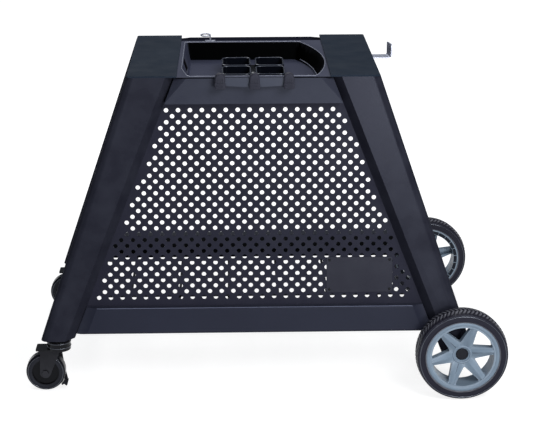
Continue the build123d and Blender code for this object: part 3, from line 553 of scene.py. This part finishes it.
def make_spokes(end):
    """Roofed fronts of the spokes, a fine dark strip along every other crest that paints a groove's shade,
    and the hub's two rings.
    """
    x0, face, z0, out = wheel_frame(end)

    def on_cone(angle, along, across, lift):
        radius = math.hypot(along, across)
        depth = HUB_APEX_DEPTH - HUB_FALL * radius - lift
        x = along * math.cos(angle) - across * math.sin(angle)
        z = along * math.sin(angle) + across * math.cos(angle)
        return x0 + x, face - out * depth, z0 + z

    roofs, grooves = bmesh.new(), bmesh.new()
    for index in range(SPOKES):
        angle = math.radians(SPOKE_START + 360.0 / SPOKES * index)
        rings = []
        for along, half, height in SPOKE_ROOF:
            bend, bend_height = half * SPOKE_BEND, height * SPOKE_BEND_HEIGHT
            section = [(-half, -SPOKE_LIFT), (-half, SPOKE_LIFT), (-bend, bend_height),
                       (-SPOKE_CREST, height), (0.0, height + SPOKE_LIFT), (SPOKE_CREST, height),
                       (bend, bend_height), (half, SPOKE_LIFT), (half, -SPOKE_LIFT)]
            rings.append([roofs.verts.new(on_cone(angle, along, a, h)) for a, h in section])
        skin(roofs, rings)
        # A thin dark strip on every other crest: painted shade standing in for a groove
        if index % 2:
            continue
        rings = []
        for step in range(GROOVE_STEPS + 1):
            share = step / GROOVE_STEPS
            along = GROOVE_FIRST + (GROOVE_LAST - GROOVE_FIRST) * share
            crest = crest_height(along) + SPOKE_LIFT
            half = GROOVE_HALF_WIDTH * (1.0 - GROOVE_TAPER * share)
            lid = half * GROOVE_LID
            section = [(-half, -SPOKE_LIFT), (-lid, SPOKE_LIFT / 2.0), (lid, SPOKE_LIFT / 2.0),
                       (half, -SPOKE_LIFT)]
            rings.append([grooves.verts.new(on_cone(angle, along, a, crest + h)) for a, h in section])
        skin(grooves, rings)
    piece("spoke_roofs_" + end, roofs, hub_plastic, "wheel_" + end, sharp=24.0)
    piece("spoke_grooves_" + end, grooves, hub_painted_shade, "wheel_" + end)

    bead = bmesh.new()
    for section in (HUB_BEAD, BOSS_RING):
        lathe(bead, x0, z0, [(radius, face - out * depth) for radius, depth in section])
    piece("hub_bead_" + end, bead, hub_plastic, "wheel_" + end, sharp=50.0)


BACK_DEPTH = 0.0460
# Section of the dark ring that paints the shade in the recess round the hub's back: radius, depth behind the
# back
BACK_RECESS = [(0.0632, -0.0002), (0.0634, 0.0003), (0.0706, 0.0003), (0.0708, -0.0002)]
BACK_RIBS = 24
BACK_RIB_FIRST, BACK_RIB_LAST = 0.0629, 0.0712
BACK_RIB_HALF_WIDTH = 0.0006
# Section of a rib: share of its half width, depth behind the back
BACK_RIB = [(1.0, -0.0002), (1.0, 0.0009), (0.6, 0.0013), (-0.6, 0.0013), (-1.0, 0.0009), (-1.0, -0.0002)]


def make_hub_back(end):
    """A thin dark ring, painted shade for the recess round the back of the hub's rim, and the ribs on it."""
    x0, face, z0, out = wheel_frame(end)

    def deep(depth):
        return face - out * (BACK_DEPTH + depth)

    recess = bmesh.new()
    lathe(recess, x0, z0, [(radius, deep(depth)) for radius, depth in BACK_RECESS])
    piece("hub_recess_" + end, recess, hub_painted_shade, "wheel_" + end, sharp=50.0)
    ribs = bmesh.new()
    for index in range(BACK_RIBS):
        angle = math.tau * (index + 0.5) / BACK_RIBS
        along = Vector((math.cos(angle), 0.0, math.sin(angle)))
        across = Vector((-math.sin(angle), 0.0, math.cos(angle))) * BACK_RIB_HALF_WIDTH
        rings = []
        for radius in (BACK_RIB_FIRST, BACK_RIB_LAST):
            ring = []
            for share, depth in BACK_RIB:
                ring.append(ribs.verts.new(Vector((x0, deep(depth), z0)) + along * radius + across * share))
            rings.append(ring)
        skin(ribs, rings)
    piece("hub_ribs_" + end, ribs, hub_plastic, "wheel_" + end)


# Casters

RACE_BEADS = (0.0950, 0.1045)
RACE_RADIUS = 0.0240
RACE_BEAD = 0.0011
RACE_SEGMENTS = 64
CASTER_RING_INSET = 0.0042
CASTER_RING = 0.0008
CASTER_RING_SEGMENTS = 72


def make_caster_beads(end):
    """Polished beads round a caster's swivel race and on the faces of its tyre, glossy and lighter than the
    caster: partly painted highlight.
    """
    low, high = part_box("caster_stem_" + end)
    x0, y0 = (low[0] + high[0]) / 2.0, (low[1] + high[1]) / 2.0
    race = [(x0 + RACE_RADIUS * math.cos(a), y0 + RACE_RADIUS * math.sin(a)) for a in turn(RACE_SEGMENTS)]
    bm = bmesh.new()
    for z in RACE_BEADS:
        bead_loop(bm, [Vector((x, y, z)) for x, y in race], RACE_BEAD)
    piece("race_beads_" + end, bm, caster_painted_glint, "caster_" + end, sharp=70.0)

    low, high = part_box("caster_tyre_" + end)
    x0, z0 = (low[0] + high[0]) / 2.0, (low[2] + high[2]) / 2.0
    radius = (high[2] - low[2]) / 2.0 - CASTER_RING_INSET
    bm = bmesh.new()
    for y in (low[1] + CASTER_RING / 4.0, high[1] - CASTER_RING / 4.0):
        section = []
        for a in turn(BEAD_SIDES):
            section.append((radius + CASTER_RING * math.cos(a), y + CASTER_RING * math.sin(a)))
        lathe(bm, x0, z0, section, CASTER_RING_SEGMENTS)
    body = "caster_" + end + "_wheel"
    piece("caster_rings_" + end, bm, caster_painted_glint, body, sharp=70.0)


# Tray

TRAY_BEAD = 0.0011
TRAY_MARGIN = 2.0 * MM
TRAY_BEAD_STEP = 0.2 * MM


def make_tray_edge():
    """The rolled edge round the tray's well, in a light colour that paints its highlight."""
    low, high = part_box("tray")
    rim = []
    for v in nodes["tray"].data.vertices:
        x, y, z = v.co
        inside_x = low[0] + TRAY_MARGIN < x < high[0] - TRAY_MARGIN
        inside_y = low[1] + TRAY_MARGIN < y < high[1] - TRAY_MARGIN
        if inside_x and inside_y and abs(z - high[2]) < LEVEL_GAP:
            rim.append(v.co.copy())
    middle = sum(rim, Vector()) / len(rim)
    rim.sort(key=lambda p: math.atan2(p.y - middle.y, p.x - middle.x))
    bm = bmesh.new()
    bead_loop(bm, [p for k, p in enumerate(rim) if (p - rim[k - 1]).length > TRAY_BEAD_STEP], TRAY_BEAD)
    piece("tray_edge", bm, coat_edge_highlight, "frame")


FLOOR_LINE_DROP = 0.0335
FLOOR_LINE_INSET = 0.0150
FLOOR_LINE = 0.0010
FLOOR_LINE_STEP = 1.0 * MM
# The tray's bowed end, from the middle: where the bow starts, how wide it is and the centre it bends round
BOW_START = 0.110
BOW_HALF_WIDTH = 0.135
BOW_CENTRE_X, BOW_CENTRE_Y = 0.045, -0.026


def make_floor_line():
    """A light bead at the foot of the tray's bowed end: a painted highlight along the line where the wall
    meets the floor.
    """
    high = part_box("tray")[1]
    centre = Vector((MID_X + BOW_CENTRE_X, BOW_CENTRE_Y, 0.0))
    points = []
    for v in nodes["tray"].data.vertices:
        x, y, z = v.co
        bowed = MID_X + BOW_START < x < high[0] - TRAY_MARGIN and abs(y) < BOW_HALF_WIDTH
        if bowed and abs(z - high[2]) < LEVEL_GAP:
            points.append(v.co.copy())
    points.sort(key=lambda p: p.y)
    line = []
    for p in points:
        inward = (centre - Vector((p.x, p.y, 0.0))).normalized()
        line.append(Vector((p.x, p.y, high[2] - FLOOR_LINE_DROP)) + FLOOR_LINE_INSET * inward)
    line = [p for k, p in enumerate(line) if k == 0 or (p - line[k - 1]).length > FLOOR_LINE_STEP]
    bm = bmesh.new()
    bead_run(bm, line, FLOOR_LINE)
    piece("tray_floor_line", bm, coat_edge_highlight, "frame")


SLOT_Y = -0.016
SLOT_Z = 0.627
SLOT_HALF_LENGTH = 0.027
SLOT_HALF_HEIGHT = 0.013
WALL_X = -0.146
WALL_TOP_Z = 0.645
WALL_DRAFT = math.tan(math.radians(18.0))
# The black box behind the slot is painted shade: its seat on the wall, its depth and its wall
POCKET_SEAT = 0.0010
POCKET_DEPTH = 0.030
POCKET_WALL = 0.0015


def make_slot_painted_shade():
    """A black pocket behind the tray's hand slot, open towards the tray: painted shade in the space seen
    through the slot.
    """
    bm = bmesh.new()

    def frame_at(back, grow):
        ring = []
        for a, b in ((-1, -1), (1, -1), (1, 1), (-1, 1)):
            y = SLOT_Y + a * (SLOT_HALF_LENGTH + grow)
            z = SLOT_Z + b * (SLOT_HALF_HEIGHT + grow)
            wall = WALL_X + WALL_DRAFT * (WALL_TOP_Z - z) + POCKET_SEAT
            ring.append(bm.verts.new((MID_X + wall - back, y, z)))
        return ring

    skin(bm, [frame_at(POCKET_DEPTH - POCKET_WALL, 0.0), frame_at(0.0, 0.0),
              frame_at(0.0, POCKET_WALL), frame_at(POCKET_DEPTH, POCKET_WALL)])
    piece("slot_painted_shade", bm, plug_plastic, "frame")


# Rails, hooks and caddy

RAIL_TOP_Z = 0.178
RAIL_ROUND = 0.005
RAIL_SETBACK = 0.010
RAIL_LIP = 0.0009
RAIL_LIP_SINK = 0.30 * RAIL_ROUND
RAIL_LIP_MARGIN = 0.021
RAIL_LIP_STEPS = 12


def make_rail_lips():
    """A painted highlight: a light bead along the crest of each long rail's rounded upper edge."""
    bm = bmesh.new()
    for end, out in (("front", 1.0), ("rear", -1.0)):
        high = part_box("rail_" + end)[1]
        vertices = nodes["rail_" + end].data.vertices
        crest = [v.co.x for v in vertices if abs(v.co.z - high[2]) < RAIL_LEVEL_GAP]
        first, last = min(crest) + RAIL_LIP_MARGIN, max(crest) - RAIL_LIP_MARGIN
        y = out * (front_face_y(RAIL_TOP_Z, RAIL_SETBACK) + RAIL_LIP_SINK)
        line = []
        for k in range(RAIL_LIP_STEPS + 1):
            line.append(Vector((first + (last - first) * k / RAIL_LIP_STEPS, y, RAIL_TOP_Z - RAIL_LIP_SINK)))
        bead_run(bm, line, RAIL_LIP)
    piece("rail_lips", bm, coat_lip_highlight, "frame")


HOOK_X = 0.0015
HOOK_PITCH = 0.0676
HOOK_COUNT = 3
NOSE_HALF_WIDTH = 0.0112
NOSE_HEIGHT = 0.0125
NOSE_DEPTH = 0.0036
NOSE_TAPER_BELOW, NOSE_TAPER_ABOVE = 0.26, 0.10
NOSE_RIBS = 4
NOSE_RIB_DEPTH = 0.0009
NOSE_SEAT = 0.0004
NOSE_ROWS, NOSE_COLUMNS = 33, 17


def make_hook_noses():
    """Rounded, ribbed noses on the lower halves of the tool hooks."""
    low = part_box("tool_hooks")[0]
    bm = bmesh.new()
    for index in range(HOOK_COUNT):
        x0 = MID_X + HOOK_X + (index - (HOOK_COUNT - 1) / 2.0) * HOOK_PITCH
        grid = []
        for j in range(NOSE_ROWS):
            up = 2.0 * j / (NOSE_ROWS - 1) - 1.0
            taper = NOSE_TAPER_BELOW * max(0.0, -up) ** 4 + NOSE_TAPER_ABOVE * max(0.0, up) ** 2
            half = NOSE_HALF_WIDTH * (1.0 - taper)
            z = low[2] + NOSE_HEIGHT * (up + 1.0) / 2.0
            face_y = low[1] + LEAN * (z - low[2]) + NOSE_SEAT
            rib = NOSE_RIB_DEPTH * (0.5 + 0.5 * math.cos(math.pi * NOSE_RIBS * (up + 1.0)))
            row = []
            for i in range(NOSE_COLUMNS):
                across = 2.0 * i / (NOSE_COLUMNS - 1) - 1.0
                bulge = math.sqrt(max(0.0, 1.0 - up ** 4) * max(0.0, 1.0 - across ** 6))
                y = face_y - (NOSE_DEPTH - rib) * bulge
                row.append(bm.verts.new((x0 + half * across, y, z)))
            grid.append(row)
        for lower, upper in zip(grid, grid[1:]):
            for i in range(NOSE_COLUMNS - 1):
                bm.faces.new((lower[i], lower[i + 1], upper[i + 1], upper[i]))
        right = [row[-1] for row in grid[1:]]
        left = [row[0] for row in grid[-2:0:-1]]
        bm.faces.new(grid[0] + right + grid[-1][-2::-1] + left)
    piece("hook_noses", bm, hook_plastic, "frame", sharp=50.0)


CADDY_CHANNEL = 0.009
CADDY_CORNER = 0.0105
CADDY_BEAD = 0.0013
CADDY_CORNER_STEPS = 6


def make_caddy_rims():
    """Rolled rims round the caddy's four cups, lighter than the caddy: painted highlight."""
    low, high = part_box("caddy")
    bm = bmesh.new()
    half_x = ((high[0] - low[0]) - CADDY_CHANNEL) / 4.0
    half_y = ((high[1] - low[1]) - CADDY_CHANNEL) / 4.0
    corner_x, corner_y = half_x - CADDY_BEAD - CADDY_CORNER, half_y - CADDY_BEAD - CADDY_CORNER
    for sx in (-1, 1):
        for sy in (-1, 1):
            x = (low[0] + high[0]) / 2.0 + sx * (half_x + CADDY_CHANNEL / 2.0)
            y = (low[1] + high[1]) / 2.0 + sy * (half_y + CADDY_CHANNEL / 2.0)
            points = []
            for corner, (a, b) in enumerate(((1, 1), (-1, 1), (-1, -1), (1, -1))):
                for step in range(CADDY_CORNER_STEPS + 1):
                    angle = math.radians(90.0 * (corner + step / CADDY_CORNER_STEPS))
                    points.append(Vector((x + a * corner_x + CADDY_CORNER * math.cos(angle),
                                          y + b * corner_y + CADDY_CORNER * math.sin(angle), high[2])))
            bead_loop(bm, points, CADDY_BEAD)
    piece("caddy_rims", bm, caddy_rim_highlight, "frame")


make_panel()
make_tray_edge()
make_floor_line()
make_rail_lips()
make_hook_noses()
make_caddy_rims()
make_slot_painted_shade()
for end in ("front", "rear"):
    make_tyre(end)
    make_tyre_shine(end)
    make_spokes(end)
    make_hub_back(end)
    make_caster_beads(end)


# Floor, light and camera

WHITE = (1.0, 1.0, 1.0, 1.0)
FLOOR_RADIUS = 60.0
FLOOR_SIDES = 96
FLOOR_DROP = 0.0002
FLOOR_COLOR = (0.45, 0.45, 0.45, 1.0)
# The floor's glow: its strength near the object and far out, and where it changes
GLOW_NEAR, GLOW_FAR = 0.80, 1.0
GLOW_START, GLOW_END = 0.55, 1.6
SKY_COLOR = (0.80, 0.88, 1.0, 1.0)
SKY_STRENGTH = 0.17
# Name, place, aim, size, power
SOFTBOXES = [
    ("key", (1.1, -1.9, 1.9), (0.0, -0.1, 0.4), (1.2, 1.0), 34.0),
    ("top", (0.0, -0.1, 2.8), (0.0, 0.0, 0.4), (2.4, 1.4), 14.0),
    ("back", (-0.4, 1.9, 2.4), (0.0, 0.1, 0.3), (1.6, 0.9), 24.0),
    ("glance", (0.66, -3.0, 0.60), (0.25, -0.2, 0.5), (0.7, 0.5), 27.0),
    ("fill", (-0.62, -3.0, 0.93), (-0.3, -0.2, 0.55), (0.5, 0.45), 4.5),
]
CAMERA_PLACE = (-0.0647, -3.2396, 1.3206)
CAMERA_PITCH, CAMERA_YAW, CAMERA_ROLL = math.radians(17.529), math.radians(1.350), math.radians(-0.126)
SENSOR_WIDTH = 36.0
FOCAL_PIXELS = 1575.1
PHOTO_PIXELS = 535.0
VIEW_END = 200.0


def stage_floor():
    """A wide pale floor that glows to white but keeps the object's shadow."""
    bm = bmesh.new()
    bmesh.ops.create_circle(bm, cap_ends=True, radius=FLOOR_RADIUS, segments=FLOOR_SIDES)
    mesh = bpy.data.meshes.new("floor")
    bm.to_mesh(mesh)
    bm.free()
    floor = bpy.data.objects.new("floor", mesh)
    bpy.context.scene.collection.objects.link(floor)
    floor.location.z = -FLOOR_DROP
    mat = bpy.data.materials.new("pale_floor")
    mat.use_nodes = True
    tree = mat.node_tree
    new, link = tree.nodes.new, tree.links.new
    tree.nodes.remove(tree.nodes["Principled BSDF"])
    matt = new("ShaderNodeBsdfDiffuse")
    matt.inputs["Color"].default_value = FLOOR_COLOR
    rays = new("ShaderNodeLightPath").outputs
    seen = calculate(tree, "MAXIMUM", rays["Is Camera Ray"], rays["Is Glossy Ray"])
    seen = calculate(tree, "MAXIMUM", seen, rays["Is Transmission Ray"])
    reach = new("ShaderNodeVectorMath")
    reach.operation = "LENGTH"
    link(new("ShaderNodeTexCoord").outputs["Object"], reach.inputs[0])
    strength = ramp(tree, reach.outputs["Value"], GLOW_START, GLOW_END, GLOW_NEAR, GLOW_FAR)
    glow = new("ShaderNodeEmission")
    link(calculate(tree, "MULTIPLY", seen, strength), glow.inputs["Strength"])
    both = new("ShaderNodeAddShader")
    link(matt.outputs[0], both.inputs[0])
    link(glow.outputs[0], both.inputs[1])
    link(both.outputs[0], tree.nodes["Material Output"].inputs["Surface"])
    mesh.materials.append(mat)


def studio_world():
    """A dim cool sky that the camera sees as white."""
    world = bpy.data.worlds.new("studio")
    bpy.context.scene.world = world
    world.use_nodes = True
    tree = world.node_tree
    new, link = tree.nodes.new, tree.links.new
    soft = tree.nodes["Background"]
    soft.inputs["Color"].default_value = SKY_COLOR
    soft.inputs["Strength"].default_value = SKY_STRENGTH
    white = new("ShaderNodeBackground")
    white.inputs["Color"].default_value = WHITE
    white.inputs["Strength"].default_value = 1.0
    rays = new("ShaderNodeLightPath").outputs
    mix = new("ShaderNodeMixShader")
    link(calculate(tree, "MAXIMUM", rays["Is Camera Ray"], rays["Is Transmission Ray"]), mix.inputs[0])
    link(soft.outputs[0], mix.inputs[1])
    link(white.outputs[0], mix.inputs[2])
    link(mix.outputs[0], tree.nodes["World Output"].inputs["Surface"])


def softbox(name, place, aim, size, power):
    """A rectangular lamp turned towards its aim."""
    lamp = bpy.data.lights.new(name, "AREA")
    lamp.shape = "RECTANGLE"
    lamp.size, lamp.size_y = size
    lamp.energy = power
    obj = bpy.data.objects.new(name, lamp)
    bpy.context.scene.collection.objects.link(obj)
    obj.location = place
    obj.rotation_euler = (Vector(aim) - Vector(place)).to_track_quat("-Z", "Y").to_euler()


def photo_camera():
    """The photograph's viewing angle."""
    level = math.cos(CAMERA_PITCH)
    ahead = Vector((math.sin(CAMERA_YAW) * level, math.cos(CAMERA_YAW) * level, -math.sin(CAMERA_PITCH)))
    right = Vector((math.cos(CAMERA_YAW), -math.sin(CAMERA_YAW), 0.0))
    up = right.cross(ahead)
    across = right * math.cos(CAMERA_ROLL) + up * math.sin(CAMERA_ROLL)
    rise = up * math.cos(CAMERA_ROLL) - right * math.sin(CAMERA_ROLL)
    data = bpy.data.cameras.new("photo_camera")
    data.sensor_fit = "HORIZONTAL"
    data.sensor_width = SENSOR_WIDTH
    data.lens = SENSOR_WIDTH * FOCAL_PIXELS / PHOTO_PIXELS
    data.clip_end = VIEW_END
    camera = bpy.data.objects.new("photo_camera", data)
    bpy.context.scene.collection.objects.link(camera)
    facing = Matrix((across, rise, -ahead)).transposed().to_4x4()
    camera.matrix_world = Matrix.Translation(CAMERA_PLACE) @ facing
    bpy.context.scene.camera = camera


stage_floor()
studio_world()
for lamp_values in SOFTBOXES:
    softbox(*lamp_values)
photo_camera()
bpy.context.scene.view_settings.view_transform = "Standard"
